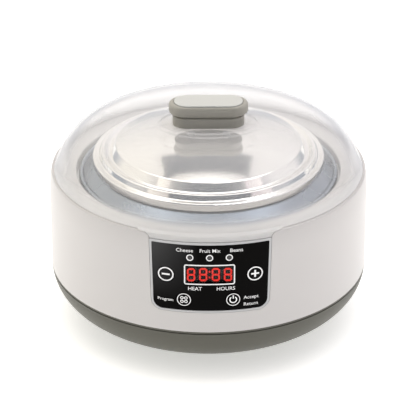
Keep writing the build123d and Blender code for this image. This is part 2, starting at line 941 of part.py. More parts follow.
with BuildPart() as fuse_clip:
    strap_radius = fuse_radius + fixed_gap
    with BuildSketch(Plane.YZ.offset(-strap_width / 2)):
        with Locations((-fuse_circle, clamp_bottom_z - strap_radius)):
            Circle(strap_radius + strap_sheet)
            Rectangle(2 * (strap_radius + strap_sheet), strap_radius, align=(Align.CENTER, Align.MIN))
        with Locations((-fuse_circle, clamp_bottom_z)):
            Rectangle(2 * (strap_radius + strap_ear), strap_sheet, align=(Align.CENTER, Align.MAX))
        with Locations((-fuse_circle, clamp_bottom_z - strap_radius)):
            Circle(strap_radius, mode=Mode.SUBTRACT)
            Rectangle(2 * strap_radius, strap_radius, align=(Align.CENTER, Align.MIN), mode=Mode.SUBTRACT)
        with Locations((-fuse_circle, clamp_bottom_z)):
            Rectangle(4 * strap_radius, 4 * strap_radius, align=(Align.CENTER, Align.MIN), mode=Mode.SUBTRACT)
    extrude(amount=strap_width)
write_piece("fuse_clip", fuse_clip.part)

with BuildPart() as heat_shield:
    with BuildSketch(Plane.XY.offset(shield_z)):
        Circle(shield_radius)
        with shield_posts:
            Circle(board_screw_radius + fixed_gap, mode=Mode.SUBTRACT)
        with Locations((0, -heater_lead_exit)):
            SlotOverall(wire_pitch + 6 * wire_radius, 4 * wire_radius, mode=Mode.SUBTRACT)
    extrude(amount=shield_sheet)
    with BuildSketch(Plane.XY.offset(shield_z)):
        Circle(shield_radius)
        Circle(shield_radius - shield_sheet, mode=Mode.SUBTRACT)
    extrude(amount=shield_rim_height)
write_piece("heat_shield", heat_shield.part)

shield_screws = screws(
    Plane.XY.offset(shield_z + shield_sheet),
    shield_posts,
    board_screw_head_radius,
    board_screw_head_height,
    board_screw_radius,
    -shield_sheet - board_screw_bite,
)
write_piece("shield_screws", shield_screws)

# ---- Power board ----------------------------------------------------------------------------------

with BuildPart() as power_board:
    with BuildSketch(Plane((0, power_board_y, power_board_z))):
        RectangleRounded(power_board_length, power_board_width, board_corner)
        with power_screws:
            Circle(board_screw_radius + fixed_gap, mode=Mode.SUBTRACT)
    extrude(amount=board_thickness)
write_piece("power_board", power_board.part)

power_board_screws = screws(
    Plane((0, power_board_y, power_top_z)),
    power_screws,
    board_screw_head_radius,
    board_screw_head_height,
    board_screw_radius,
    -board_thickness - board_screw_bite,
)
write_piece("power_board_screws", power_board_screws)

with BuildPart() as transformer:
    with BuildSketch(Plane((transformer_x, power_board_y, power_top_z))):
        Rectangle(transformer_core_length, transformer_core_width)
    extrude(amount=component_height)
    with BuildSketch(Plane((transformer_x, power_board_y, power_top_z + transformer_coil_inset))):
        RectangleRounded(transformer_coil_length, transformer_coil_width, transformer_corner)
    extrude(amount=component_height - 2 * transformer_coil_inset)
write_piece("transformer", transformer.part)

with BuildPart() as capacitors:
    with BuildSketch(Plane((capacitor_x, power_board_y + capacitor_shift, power_top_z))):
        with GridLocations(capacitor_pitch, 0, 2, 1):
            Circle(capacitor_radius)
    extrude(amount=component_height)
    fillet(capacitors.edges().group_by(Axis.Z)[-1], capacitor_fillet)
write_piece("capacitors", capacitors.part)

with BuildPart() as relay:
    with BuildSketch(Plane((relay_x, power_board_y, power_top_z))):
        Rectangle(relay_length, relay_width)
    extrude(amount=component_height)
    chamfer(relay.edges().group_by(Axis.Z)[-1], relay_chamfer)
write_piece("relay", relay.part)

with BuildPart() as terminal_blocks:
    with BuildSketch(Plane.XY.offset(power_top_z)):
        with Locations((front_terminal_x, front_terminal_y), (0, back_terminal_y)):
            Rectangle(terminal_width, terminal_depth)
    extrude(amount=terminal_height)
    chamfer(terminal_blocks.edges().group_by(Axis.Z)[-1], terminal_chamfer)
write_piece("terminal_blocks", terminal_blocks.part)

# ---- Cables between the boards, heater and inlet --------------------------------------------------

terminal_front_face_y = front_terminal_y - terminal_depth / 2
with BuildPart() as heater_leads:
    for side in (-1, 1):
        lead_x = side * wire_pitch / 2
        with BuildLine():
            FilletPolyline(
                (lead_x + front_terminal_x, terminal_front_face_y, wire_z),
                (lead_x + front_terminal_x, terminal_front_face_y - wire_straight, wire_z),
                (lead_x, -heater_lead_exit, wire_z),
                (lead_x, -heater_lead_exit, element_bottom_z),
                radius=heater_lead_bend,
            )
        with BuildSketch(front(-terminal_front_face_y)):
            with Locations((lead_x + front_terminal_x, wire_z)):
                Circle(wire_radius)
        sweep()
write_piece("heater_leads", heater_leads.part)

inlet_face_y = body_radius - inlet_recess
inlet_back_y = inlet_face_y - inlet_depth
mains_lead_y = inlet_back_y + mains_lead_inset
mains_lead_z = base_joint_z - mains_lead_drop
terminal_back_face_y = back_terminal_y + terminal_depth / 2
with BuildPart() as mains_leads:
    for side in (-1, 1):
        lead_x = side * inlet_pin_pitch / 2
        with BuildLine():
            FilletPolyline(
                (lead_x, mains_lead_y, inlet_z - inlet_height / 2),
                (lead_x, mains_lead_y, mains_lead_z),
                (lead_x, terminal_back_face_y + wire_straight, wire_z),
                (lead_x, terminal_back_face_y, wire_z),
                radius=mains_lead_bend,
            )
        with BuildSketch(Plane.XY.offset(inlet_z - inlet_height / 2)):
            with Locations((lead_x, mains_lead_y)):
                Circle(wire_radius)
        sweep()
write_piece("mains_leads", mains_leads.part)

power_connector_y = power_board_y - power_board_width / 2 + connector_length / 2
ribbon_top_z = board_centre_z - control_board_height / 2 + connector_rise
ribbon_low_z = power_top_z + connector_height / 2
ribbon_front_y = board_back_y - ribbon_thickness
connector_width = ribbon_width + 2 * connector_side
with BuildPart() as board_connectors:
    with BuildSketch(Plane.XY.offset(power_top_z)):
        with Locations((ribbon_x, power_connector_y)):
            Rectangle(connector_width, connector_length)
    extrude(amount=connector_height)
    with BuildSketch(front(board_back_y)):
        with Locations((ribbon_x, ribbon_top_z)):
            Rectangle(connector_width, connector_length, align=(Align.CENTER, Align.MIN))
    extrude(amount=-connector_depth)
write_piece("board_connectors", board_connectors.part)

with BuildPart() as ribbon_cable:
    ribbon_start_y = -(power_connector_y - connector_length / 2)
    with BuildSketch(Plane.YZ.offset(ribbon_x - ribbon_width / 2)) as ribbon_side:
        with BuildLine():
            Polyline(
                (-ribbon_start_y, ribbon_low_z),
                (-ribbon_front_y, ribbon_low_z),
                (-ribbon_front_y, ribbon_top_z),
                (-ribbon_front_y + ribbon_thickness, ribbon_top_z),
                (-ribbon_front_y + ribbon_thickness, ribbon_low_z + ribbon_thickness),
                (-ribbon_start_y, ribbon_low_z + ribbon_thickness),
                close=True,
            )
        make_face()
        outer_bend = (-ribbon_front_y, ribbon_low_z, 0)
        fillet(ribbon_side.vertices().sort_by_distance(outer_bend)[0], ribbon_bend + ribbon_thickness)
        inner_bend = (-ribbon_front_y + ribbon_thickness, ribbon_low_z + ribbon_thickness, 0)
        fillet(ribbon_side.vertices().sort_by_distance(inner_bend)[0], ribbon_bend)
    extrude(amount=ribbon_width)
write_piece("ribbon_cable", ribbon_cable.part)

# ---- Mains inlet ----------------------------------------------------------------------------------

with BuildPart() as inlet_housing:
    with BuildSketch(Plane.XZ.offset(-inlet_back_y)):
        with Locations((0, inlet_z)):
            RectangleRounded(inlet_width, inlet_height, inlet_corner)
    extrude(amount=-inlet_depth)
    inlet_flange_y = sqrt(shell_inner_radius**2 - (inlet_width / 2 + inlet_flange_overlap) ** 2)
    with BuildSketch(Plane.XZ.offset(-inlet_flange_y + fixed_gap)):
        with Locations((0, inlet_z)):
            RectangleRounded(
                inlet_width + 2 * inlet_flange_overlap,
                inlet_height + 2 * inlet_flange_rise,
                inlet_corner + fixed_gap,
            )
    extrude(amount=inlet_flange_thickness)
    with BuildSketch(Plane.XZ.offset(-inlet_face_y)):
        with Locations((0, inlet_z)):
            SlotOverall(socket_length, socket_height)
    extrude(amount=socket_depth, mode=Mode.SUBTRACT)
    with BuildSketch(Plane.XZ.offset(-inlet_back_y)):
        with Locations((-inlet_pin_pitch / 2, inlet_z), (inlet_pin_pitch / 2, inlet_z)):
            Circle(inlet_pin_radius + pilot_gap)
    extrude(amount=-inlet_depth, mode=Mode.SUBTRACT)
write_piece("inlet_housing", inlet_housing.part)

with BuildPart() as inlet_pins:
    pin_tip_y = inlet_face_y - socket_depth + inlet_pin_length
    with BuildSketch(Plane.XZ.offset(-inlet_back_y + inlet_tab_length)):
        with Locations((-inlet_pin_pitch / 2, inlet_z), (inlet_pin_pitch / 2, inlet_z)):
            Circle(inlet_pin_radius)
    extrude(amount=-(pin_tip_y - inlet_back_y + inlet_tab_length))
    chamfer(inlet_pins.edges().group_by(Axis.Y)[-1], inlet_pin_chamfer)
write_piece("inlet_pins", inlet_pins.part)

# ---- Pot, lid and gasket --------------------------------------------------------------------------

with BuildPart() as pot:
    with BuildSketch(Plane.XZ) as pot_section:
        bead_wall_radius = bead_outer_radius - 2 * bead_radius + pot_sheet / 4
        bead_foot_z = bead_z - bead_radius - bead_neck_bend
        with BuildLine():
            Polyline(
                (0, pot_bottom_z),
                (pot_radius, pot_bottom_z),
                (pot_radius, bead_foot_z),
                (bead_wall_radius, bead_z - bead_radius / 2),
                (bead_wall_radius, bead_z + bead_radius / 2),
                (neck_radius, neck_top_z - neck_collar),
                (neck_radius, neck_top_z),
                (0, neck_top_z),
                close=True,
            )
        make_face()
        fillet(pot_section.vertices().sort_by_distance((pot_radius, pot_bottom_z, 0))[0], pot_corner)
        neck_foot = (bead_wall_radius, bead_z + bead_radius / 2, 0)
        fillet(pot_section.vertices().sort_by_distance(neck_foot)[0], bead_neck_bend)
        collar_foot = (neck_radius, neck_top_z - neck_collar, 0)
        fillet(pot_section.vertices().sort_by_distance(collar_foot)[0], neck_bend)
    revolve(axis=Axis.Z)
    offset(amount=-pot_sheet, openings=pot.faces().sort_by(Axis.Z)[-1])
    # Rolled bead that rests on the chamber's flange
    with BuildSketch(Plane.XZ):
        with Locations((bead_outer_radius - bead_radius, bead_z)):
            Circle(bead_radius)
    revolve(axis=Axis.Z)
write_piece("pot", pot.part)

with BuildPart() as pot_lid:
    with BuildSketch(Plane.XZ) as lid_section:
        with BuildLine():
            dome_edge = (lid_radius - lid_dome_inset, lid_rim_z + lid_dome_edge_rise)
            stepped_rim = FilletPolyline(
                (lid_radius, lid_rim_z - lid_skirt),
                (lid_radius, lid_rim_z),
                (lid_radius - lid_rim_width, lid_rim_z),
                (lid_radius - lid_ring_inset + lid_ring_half, lid_rim_z + lid_ring_rise),
                (lid_radius - lid_ring_inset - lid_ring_half, lid_rim_z + lid_ring_rise),
                (lid_radius - lid_groove_inset, lid_rim_z + lid_groove_rise),
                (lid_radius - lid_groove_inset - lid_groove_width, lid_rim_z + lid_groove_rise),
                dome_edge,
                radius=lid_bend,
            )
            apex = (0, lid_rim_z + lid_rise)
            dome_drop = lid_rise - lid_dome_edge_rise
            dome_radius = (dome_edge[0] ** 2 + dome_drop**2) / (2 * dome_drop)
            RadiusArc(dome_edge, apex, -dome_radius)
            Polyline(apex, (0, lid_rim_z - lid_skirt), (lid_radius, lid_rim_z - lid_skirt))
        make_face()
        fillet(lid_section.vertices().sort_by_distance((*dome_edge, 0))[0], lid_dome_bend)
    revolve(axis=Axis.Z)
    offset(amount=-lid_sheet, openings=pot_lid.faces().sort_by(Axis.Z)[0])
write_piece("pot_lid", pot_lid.part)

with BuildPart() as lid_gasket:
    gasket_outer = lid_radius - lid_sheet - gasket_inset
    with BuildSketch(Plane.XY.offset(neck_top_z + moving_gap)):
        Circle(gasket_outer)
        Circle(gasket_outer - gasket_width, mode=Mode.SUBTRACT)
    extrude(amount=gasket_thickness)
write_piece("lid_gasket", lid_gasket.part)

# ---- Outer cover ----------------------------------------------------------------------------------

cover_rim_z = body_top_z + moving_gap
cover_rim_radius = body_radius - cover_rim_inset
tab_foot_z = panel_top_z + frame_width + moving_gap
with BuildPart() as cover_tab:
    with BuildSketch(Plane.XZ):
        with BuildLine():
            Polyline(
                (body_radius - shoulder_drop - tab_wall + 2 * moving_gap, tab_foot_z),
                (shoulder_radius_at(tab_foot_z), tab_foot_z),
                (shoulder_radius_at(body_top_z), body_top_z),
                (cover_rim_radius - tab_top_inset, cover_rim_z + tab_rise),
                (cover_rim_radius - cover_wall / 2, cover_rim_z + tab_rise / 2),
                (cover_rim_radius - cover_wall / 2, cover_rim_z),
                (body_radius - shoulder_drop - tab_wall + 2 * moving_gap, cover_rim_z),
                close=True,
            )
        make_face()
    revolve(axis=Axis.Z)
    with BuildSketch(front(0)):
        add(tab_outline(0))
    extrude(amount=2 * body_radius, mode=Mode.INTERSECT)

with BuildPart() as outer_cover:
    with BuildSketch(Plane.XZ):
        with BuildLine():
            dome_edge_radius = body_radius - cover_dome_inset
            dome_edge_z = cover_apex_z - cover_dome_sag
            crown_radius = (dome_edge_radius**2 + cover_dome_sag**2) / (2 * cover_dome_sag)
            crown = RadiusArc((0, cover_apex_z), (dome_edge_radius, dome_edge_z), crown_radius)
            side_top = (body_radius - cover_side_inset, body_top_z + cover_side_rise)
            TangentArc((dome_edge_radius, dome_edge_z), side_top, tangent=crown % 1)
            Polyline(side_top, (cover_rim_radius, cover_rim_z), (0, cover_rim_z), (0, cover_apex_z))
        make_face()
    revolve(axis=Axis.Z)
    offset(amount=-cover_wall, openings=outer_cover.faces().sort_by(Axis.Z)[0])
    add(cover_tab.part)
    # Oval dish that the knob stands in, on a pad of the cover's own thickness
    with BuildSketch(Plane.XY.offset(dish_z - cover_wall)):
        Ellipse(dish_length / 2 + cover_wall, dish_width / 2 + cover_wall)
    extrude(amount=cover_wall)
    with BuildSketch(Plane.XY.offset(dish_z)):
        Ellipse(dish_length / 2, dish_width / 2)
    extrude(amount=2 * dish_depth, mode=Mode.SUBTRACT)
    with BuildSketch(Plane.XY.offset(dish_z)):
        with knob_screw_pair:
            Circle(knob_screw_radius + fixed_gap)
    extrude(amount=-2 * cover_wall, mode=Mode.SUBTRACT)
write_piece("outer_cover", outer_cover.part)

knob_head_z = dish_z + knob_foot_height + knob_waist_height
knob_top_z = total_height - knob_inlay_rise
with BuildPart() as knob_grip:
    with BuildSketch(Plane.XY.offset(dish_z)):
        add(rounded_bar(knob_foot_length, knob_foot_width))
    extrude(amount=knob_foot_height)
    fillet(knob_grip.edges().group_by(Axis.Z)[-1], knob_foot_fillet)
    with BuildSketch(Plane.XY.offset(dish_z + knob_foot_height / 2)):
        add(rounded_bar(knob_foot_length - 2 * knob_waist_inset, knob_foot_width - 2 * knob_waist_inset))
    extrude(amount=knob_head_z - dish_z - knob_foot_height / 2)
    with BuildSketch(Plane.XY.offset(knob_head_z)):
        add(rounded_bar(knob_head_length, knob_head_width))
    extrude(amount=knob_top_z - knob_head_z)
    fillet(knob_grip.edges().group_by(Axis.Z)[-1], knob_head_fillet)
    with BuildSketch(Plane.XY.offset(knob_top_z)):
        add(rounded_bar(knob_inlay_length + 2 * pilot_gap, knob_inlay_width + 2 * pilot_gap))
    extrude(amount=-knob_inlay_sink, mode=Mode.SUBTRACT)
    with BuildSketch(Plane.XY.offset(dish_z)):
        with knob_screw_pair:
            Circle(knob_screw_radius + pilot_gap)
    extrude(amount=knob_screw_bite + fixed_gap, mode=Mode.SUBTRACT)
write_piece("knob_grip", knob_grip.part)

with BuildPart() as knob_inlay:
    with BuildSketch(Plane.XY.offset(knob_top_z - knob_inlay_sink)):
        add(rounded_bar(knob_inlay_length, knob_inlay_width))
    extrude(amount=knob_inlay_sink + knob_inlay_rise)
    fillet(knob_inlay.edges().group_by(Axis.Z)[-1], knob_inlay_rise)
write_piece("knob_inlay", knob_inlay.part)

with BuildPart() as knob_screws:
    screw_pair = screws(
        Plane.XY.offset(dish_z - cover_wall),
        knob_screw_pair,
        knob_screw_head_radius,
        -knob_screw_head_height,
        knob_screw_radius,
        cover_wall + knob_screw_bite,
    )
    add(screw_pair)
    fillet(knob_screws.edges().group_by(Axis.Z)[0], knob_screw_head_fillet)
write_piece("knob_screws", knob_screws.part)
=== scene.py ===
# %% [markdown]
# A yogurt maker is a heated tub with a steel pot in it, a steel lid on the pot, and a milky cover
# over both. The engineering model brings every piece at its true size and place. This lesson gives
# those pieces their finishes, remakes the knob in a softer shape, and prints the control panel.

# %% Load the engineering model
import bpy
from math import cos, pi, radians, sin, sqrt, tan
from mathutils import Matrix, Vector


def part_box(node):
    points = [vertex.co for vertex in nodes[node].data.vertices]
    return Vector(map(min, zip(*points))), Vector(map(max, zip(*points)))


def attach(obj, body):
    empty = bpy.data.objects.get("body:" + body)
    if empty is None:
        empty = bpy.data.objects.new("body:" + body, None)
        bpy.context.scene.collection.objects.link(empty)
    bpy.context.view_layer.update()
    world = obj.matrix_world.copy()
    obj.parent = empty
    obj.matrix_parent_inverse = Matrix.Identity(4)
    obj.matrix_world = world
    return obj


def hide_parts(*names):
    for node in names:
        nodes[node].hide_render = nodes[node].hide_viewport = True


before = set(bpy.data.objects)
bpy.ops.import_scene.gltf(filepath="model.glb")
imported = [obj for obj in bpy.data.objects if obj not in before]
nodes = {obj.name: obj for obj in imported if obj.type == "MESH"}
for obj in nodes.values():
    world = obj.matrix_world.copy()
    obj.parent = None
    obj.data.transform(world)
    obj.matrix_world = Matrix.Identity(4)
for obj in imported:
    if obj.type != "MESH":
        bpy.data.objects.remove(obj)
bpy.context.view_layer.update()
mm = 0.001
print("pieces from the engineering model:", len(nodes))

# %% [markdown]
# The view settings come first. The plain "Standard" transform keeps white plastic white, where
# the film-like default would turn it grey. The camera stands 1.5 m away and looks down by 27
# degrees, with a long lens, so the round body shows almost no perspective.

# %% Camera
bpy.context.scene.view_settings.view_transform = "Standard"
camera_distance = 1.5
camera_elevation = radians(27.0)
camera_turn = radians(-0.7)
camera_target = Vector((-0.0003, 0.0, 0.0713))
camera_back = Vector(
    (
        cos(camera_elevation) * sin(camera_turn),
        -cos(camera_elevation) * cos(camera_turn),
        sin(camera_elevation),
    )
)
bpy.ops.object.select_all(action="DESELECT")
bpy.ops.object.camera_add(location=camera_target + camera_back * camera_distance)
camera = bpy.context.object
camera.name = "studio_camera"
camera.rotation_euler = (pi / 2 - camera_elevation, 0.0, camera_turn)
camera.data.lens = 194.6
camera.data.sensor_width = 36.0
camera.data.clip_end = 50.0
bpy.context.scene.camera = camera
print("camera stands at", [round(v, 3) for v in camera.location])

# %% [markdown]
# Every finish below is a node tree. One helper opens an empty tree, and one adds a node with its
# settings and links, so that each finish reads as a short recipe. Colours are written as they
# look on a screen, and Blender mixes light in linear values, so a third helper converts them.


# %% Helpers for finishes
def linear(hex_colour):
    """Turn a screen colour such as "E9E7E3" into linear red, green, blue and alpha."""
    channels = [int(hex_colour[i : i + 2], 16) / 255 for i in (0, 2, 4)]
    return [c / 12.92 if c <= 0.04045 else ((c + 0.055) / 1.055) ** 2.4 for c in channels] + [1.0]


def add_node(tree, kind, settings=None, links=None):
    """Add a node, set its sockets or properties by name, and link what feeds its sockets."""
    node = tree.nodes.new(kind)
    for name, value in (settings or {}).items():
        if isinstance(name, str) and hasattr(node, name):
            setattr(node, name, value)
        else:
            node.inputs[name].default_value = value
    for name, source in (links or {}).items():
        tree.links.new(source, node.inputs[name])
    return node


def new_finish(name):
    """Start a finish with an empty node tree that has only its output."""
    material = bpy.data.materials.new(name)
    material.use_nodes = True
    material.node_tree.nodes.clear()
    return material, material.node_tree


def coat(surface_names, material):
    """Give the named engineering pieces this finish."""
    for name in surface_names:
        nodes[name].data.materials.clear()
        nodes[name].data.materials.append(material)


# %% [markdown]
# Moulded ABS is a slightly glossy plastic. Its mould is spark-eroded, which leaves a fine grain
# that softens reflections, and its tint drifts a little from gate to gate. The same recipe makes
# the white housing, the grey pan and the knob, with other colours, grain and gloss.


# %% Finish: moulded ABS
def moulded_abs(name, colour, drift_colour, roughness, grain_size, grain_depth):
    """Injection-moulded ABS: broad tint drift, fine eroded grain, uneven gloss."""
    material, tree = new_finish(name)
    place = add_node(tree, "ShaderNodeTexCoord").outputs["Object"]
    drift = add_node(tree, "ShaderNodeTexNoise", {"Scale": 1 / (60 * mm), "Detail": 2.0}, {"Vector": place})
    tint = add_node(
        tree,
        "ShaderNodeMix",
        {"data_type": "RGBA", 6: linear(colour), 7: linear(drift_colour)},
        {0: drift.outputs["Fac"]},
    )
    grain = add_node(
        tree, "ShaderNodeTexNoise", {"Scale": 1 / (grain_size * mm), "Detail": 4.0}, {"Vector": place}
    )
    gloss = add_node(
        tree,
        "ShaderNodeMapRange",
        {"To Min": roughness - 0.04, "To Max": roughness + 0.06},
        {"Value": grain.outputs["Fac"]},
    )
    relief = add_node(
        tree,
        "ShaderNodeBump",
        {"Strength": 0.5, "Distance": grain_depth * mm},
        {"Height": grain.outputs["Fac"]},
    )
    shader = add_node(
        tree,
        "ShaderNodeBsdfPrincipled",
        {"IOR": 1.54},
        {
            "Base Color": tint.outputs[2],
            "Roughness": gloss.outputs["Result"],
            "Normal": relief.outputs["Normal"],
        },
    )
    add_node(tree, "ShaderNodeOutputMaterial", links={"Surface": shader.outputs["BSDF"]})
    return material


white_abs = moulded_abs("moulded_abs_warm_white", "D0CDCB", "CAC7C5", 0.30, 0.5, 0.02)
grey_abs = moulded_abs("moulded_abs_pebble_grey", "525146", "4B4A40", 0.42, 0.6, 0.04)
knob_abs = moulded_abs("moulded_abs_knob_grey", "A7A49A", "9F9C92", 0.38, 0.5, 0.03)
inlay_abs = moulded_abs("moulded_abs_gloss_inlay", "C9CAC5", "BFC0BB", 0.12, 0.9, 0.03)
coat(["body_shell"], white_abs)
coat(["base_pan"], grey_abs)
coat(["knob_grip"], knob_abs)
coat(["knob_inlay"], inlay_abs)
print("moulded finishes:", [m.name for m in bpy.data.materials if m.name.startswith("moulded")])

# %% [markdown]
# The cover is polypropylene, clear enough to see through and a little milky. Light is scattered
# inside the wall, not bent, so an open weave of alpha is closer to it than rough glass. Seen
# edge-on there is more plastic in the way, so the wall hides more there. Its colour also turns a
# cool grey there: painted shade at the cover's edges. The upright skirt is moulded in a grained
# part of the tool, so it hides more than the crown.

# %% Finish: milky polypropylene
skirt_gap = 1.0 * mm
skirt_height = 11.0 * mm
skirt_haze = 0.62
skirt_foot_z = nodes["body_shell"].bound_box[6][2] + skirt_gap
skirt_top_z = skirt_foot_z + skirt_height
milky, tree = new_finish("blown_polypropylene_milky")
place = add_node(tree, "ShaderNodeTexCoord").outputs["Object"]
cloud = add_node(tree, "ShaderNodeTexNoise", {"Scale": 1 / (45 * mm), "Detail": 3.0}, {"Vector": place})
slant = add_node(tree, "ShaderNodeLayerWeight", {"Blend": 0.35})
haze = add_node(
    tree,
    "ShaderNodeMapRange",
    {"From Min": 0.32, "From Max": 0.92, "To Min": 0.13, "To Max": 0.82},
    {"Value": slant.outputs["Facing"]},
)
height = add_node(tree, "ShaderNodeSeparateXYZ", links={"Vector": place})
skirt = add_node(
    tree,
    "ShaderNodeMapRange",
    {"From Min": skirt_foot_z, "From Max": skirt_top_z, "To Min": skirt_haze, "To Max": 0.0},
    {"Value": height.outputs["Z"]},
)
thicker = add_node(
    tree, "ShaderNodeMath", {"operation": "MAXIMUM"}, {0: haze.outputs["Result"], 1: skirt.outputs["Result"]}
)
veil = add_node(
    tree,
    "ShaderNodeMapRange",
    {"To Min": 0.95, "To Max": 1.05},
    {"Value": cloud.outputs["Fac"]},
)
density = add_node(
    tree,
    "ShaderNodeMath",
    {"operation": "MULTIPLY", "use_clamp": True},
    {0: thicker.outputs["Value"], 1: veil.outputs["Result"]},
)
ripple = add_node(
    tree,
    "ShaderNodeBump",
    {"Strength": 0.3, "Distance": 0.05 * mm},
    {"Height": cloud.outputs["Fac"]},
)
# Painted shade: the wall's colour goes from warm white to a cool grey as it turns edge-on.
tone = add_node(
    tree,
    "ShaderNodeMapRange",
    {"From Min": 0.35, "From Max": 0.95},
    {"Value": slant.outputs["Facing"]},
)
tint = add_node(
    tree,
    "ShaderNodeMix",
    {"data_type": "RGBA", 6: linear("F7F6F4"), 7: linear("B0B6C4")},
    {0: tone.outputs["Result"]},
)
shader = add_node(
    tree,
    "ShaderNodeBsdfPrincipled",
    {"Roughness": 0.14, "IOR": 1.49},
    {
        "Base Color": tint.outputs[2],
        "Alpha": density.outputs["Value"],
        "Normal": ripple.outputs["Normal"],
    },
)
add_node(tree, "ShaderNodeOutputMaterial", links={"Surface": shader.outputs["BSDF"]})
coat(["outer_cover"], milky)
print("skirt of the cover runs from", round(skirt_foot_z, 4), "to", round(skirt_top_z, 4))

# %% [markdown]
# The pot and its lid are stainless steel pressed from sheet. The lid is polished like a mirror,
# with faint rings left by the polishing wheel. The pot is duller, and its steel is set a dark
# blue-grey: partly its own tone, partly a painted reflection of the dim, cool room that it mirrors.


# %% Finish: stainless steel
def pressed_steel(name, colour, roughness, ring_pitch, ring_depth):
    """Stainless steel with turned rings round the piece's own upright axis."""
    material, tree = new_finish(name)
    place = add_node(tree, "ShaderNodeTexCoord").outputs["Object"]
    split = add_node(tree, "ShaderNodeSeparateXYZ", links={"Vector": place})
    flat = add_node(tree, "ShaderNodeCombineXYZ", links={"X": split.outputs["X"], "Y": split.outputs["Y"]})
    reach = add_node(tree, "ShaderNodeVectorMath", {"operation": "LENGTH"})
    tree.links.new(flat.outputs["Vector"], reach.inputs[0])
    ring_place = add_node(
        tree, "ShaderNodeCombineXYZ", links={"X": reach.outputs["Value"], "Y": split.outputs["Z"]}
    )
    rings = add_node(
        tree,
        "ShaderNodeTexNoise",
        {"Scale": 1 / (ring_pitch * mm), "Detail": 2.0},
        {"Vector": ring_place.outputs["Vector"]},
    )
    smudge = add_node(tree, "ShaderNodeTexNoise", {"Scale": 1 / (35 * mm), "Detail": 4.0}, {"Vector": place})
    gloss = add_node(
        tree,
        "ShaderNodeMapRange",
        {"From Min": 0.3, "From Max": 0.7, "To Min": roughness * 0.8, "To Max": roughness * 1.3},
        {"Value": smudge.outputs["Fac"]},
    )
    relief = add_node(
        tree,
        "ShaderNodeBump",
        {"Strength": 0.4, "Distance": ring_depth * mm},
        {"Height": rings.outputs["Fac"]},
    )
    shader = add_node(
        tree,
        "ShaderNodeBsdfPrincipled",
        {"Base Color": linear(colour), "Metallic": 1.0},
        {"Roughness": gloss.outputs["Result"], "Normal": relief.outputs["Normal"]},
    )
    add_node(tree, "ShaderNodeOutputMaterial", links={"Surface": shader.outputs["BSDF"]})
    return material


mirror_steel = pressed_steel("polished_stainless_steel", "EFEEEC", 0.10, 1.2, 0.0008)
# Painted reflection: the pot's steel colour is darkened to a blue-grey.
satin_steel = pressed_steel("satin_stainless_steel", "8F98A3", 0.24, 0.8, 0.0003)
coat(["pot_lid"], mirror_steel)
coat(["pot"], satin_steel)
coat(["chamber_liner", "heater_plate"], pressed_steel("spun_aluminium", "D2D3D4", 0.32, 0.8, 0.01))
print("metals:", mirror_steel.name, satin_steel.name)

# %% [markdown]
# The panel's front is a clear acrylic sheet printed black on its back. An anti-glare coat keeps its
# reflections low, and its black is painted lighter, to graphite, towards its upper left: a painted
# reflection. The frame round it is a light grey moulding, and the window over the figures is smoked.

# %% Finish: panel gloss, trim and smoked window
# Painted reflection: the black print is lightened to graphite towards the panel's upper left.
painted_sheen_left_x, painted_sheen_right_x = -40.0 * mm, -8.0 * mm
painted_sheen_low_z, painted_sheen_high_z = 58.0 * mm, 100.0 * mm
black_gloss, tree = new_finish("back_printed_acrylic_black")
place = add_node(tree, "ShaderNodeTexCoord").outputs["Object"]
split = add_node(tree, "ShaderNodeSeparateXYZ", links={"Vector": place})
across = add_node(
    tree,
    "ShaderNodeMapRange",
    {"From Min": painted_sheen_left_x, "From Max": painted_sheen_right_x, "To Min": 1.0, "To Max": 0.0},
    {"Value": split.outputs["X"]},
)
up = add_node(
    tree,
    "ShaderNodeMapRange",
    {"From Min": painted_sheen_low_z, "From Max": painted_sheen_high_z},
    {"Value": split.outputs["Z"]},
)
painted_sheen = add_node(
    tree, "ShaderNodeMath", {"operation": "MULTIPLY"}, {0: across.outputs["Result"], 1: up.outputs["Result"]}
)
# The painted reflection: black mixed towards graphite by the upper-left mask.
shade = add_node(
    tree,
    "ShaderNodeMix",
    {"data_type": "RGBA", 6: linear("050404"), 7: linear("4C4C4D")},
    {0: painted_sheen.outputs["Value"]},
)
swirl = add_node(tree, "ShaderNodeTexNoise", {"Scale": 1 / (18 * mm), "Detail": 2.0}, {"Vector": place})
tone = add_node(
    tree, "ShaderNodeMapRange", {"To Min": 0.05, "To Max": 0.11}, {"Value": swirl.outputs["Fac"]}
)
shader = add_node(
    tree,
    "ShaderNodeBsdfPrincipled",
    {"IOR": 1.49, "Specular IOR Level": 0.04},
    {"Base Color": shade.outputs[2], "Roughness": tone.outputs["Result"]},
)
add_node(tree, "ShaderNodeOutputMaterial", links={"Surface": shader.outputs["BSDF"]})
coat(["panel_lens", "minus_key", "plus_key", "function_key", "confirm_key"], black_gloss)

trim_abs = moulded_abs("moulded_abs_light_trim", "C4C5C6", "BBBCBD", 0.22, 0.6, 0.02)
coat(["panel_frame"], trim_abs)

smoked, tree = new_finish("cast_acrylic_smoked")
place = add_node(tree, "ShaderNodeTexCoord").outputs["Object"]
swirl = add_node(tree, "ShaderNodeTexNoise", {"Scale": 1 / (12 * mm)}, {"Vector": place})
tone = add_node(
    tree, "ShaderNodeMapRange", {"To Min": 0.04, "To Max": 0.08}, {"Value": swirl.outputs["Fac"]}
)
shader = add_node(
    tree,
    "ShaderNodeBsdfPrincipled",
    {"Base Color": linear("0A0808"), "IOR": 1.49, "Alpha": 0.25, "Specular IOR Level": 0.12},
    {"Roughness": tone.outputs["Result"]},
)
add_node(tree, "ShaderNodeOutputMaterial", links={"Surface": shader.outputs["BSDF"]})
coat(["display_window"], smoked)
print("panel finishes:", black_gloss.name, trim_abs.name, smoked.name)

# %% [markdown]
# The figures are bars of red light behind the window. They glow, a little unevenly, because each
# bar is a small light box with its lamp in the middle.

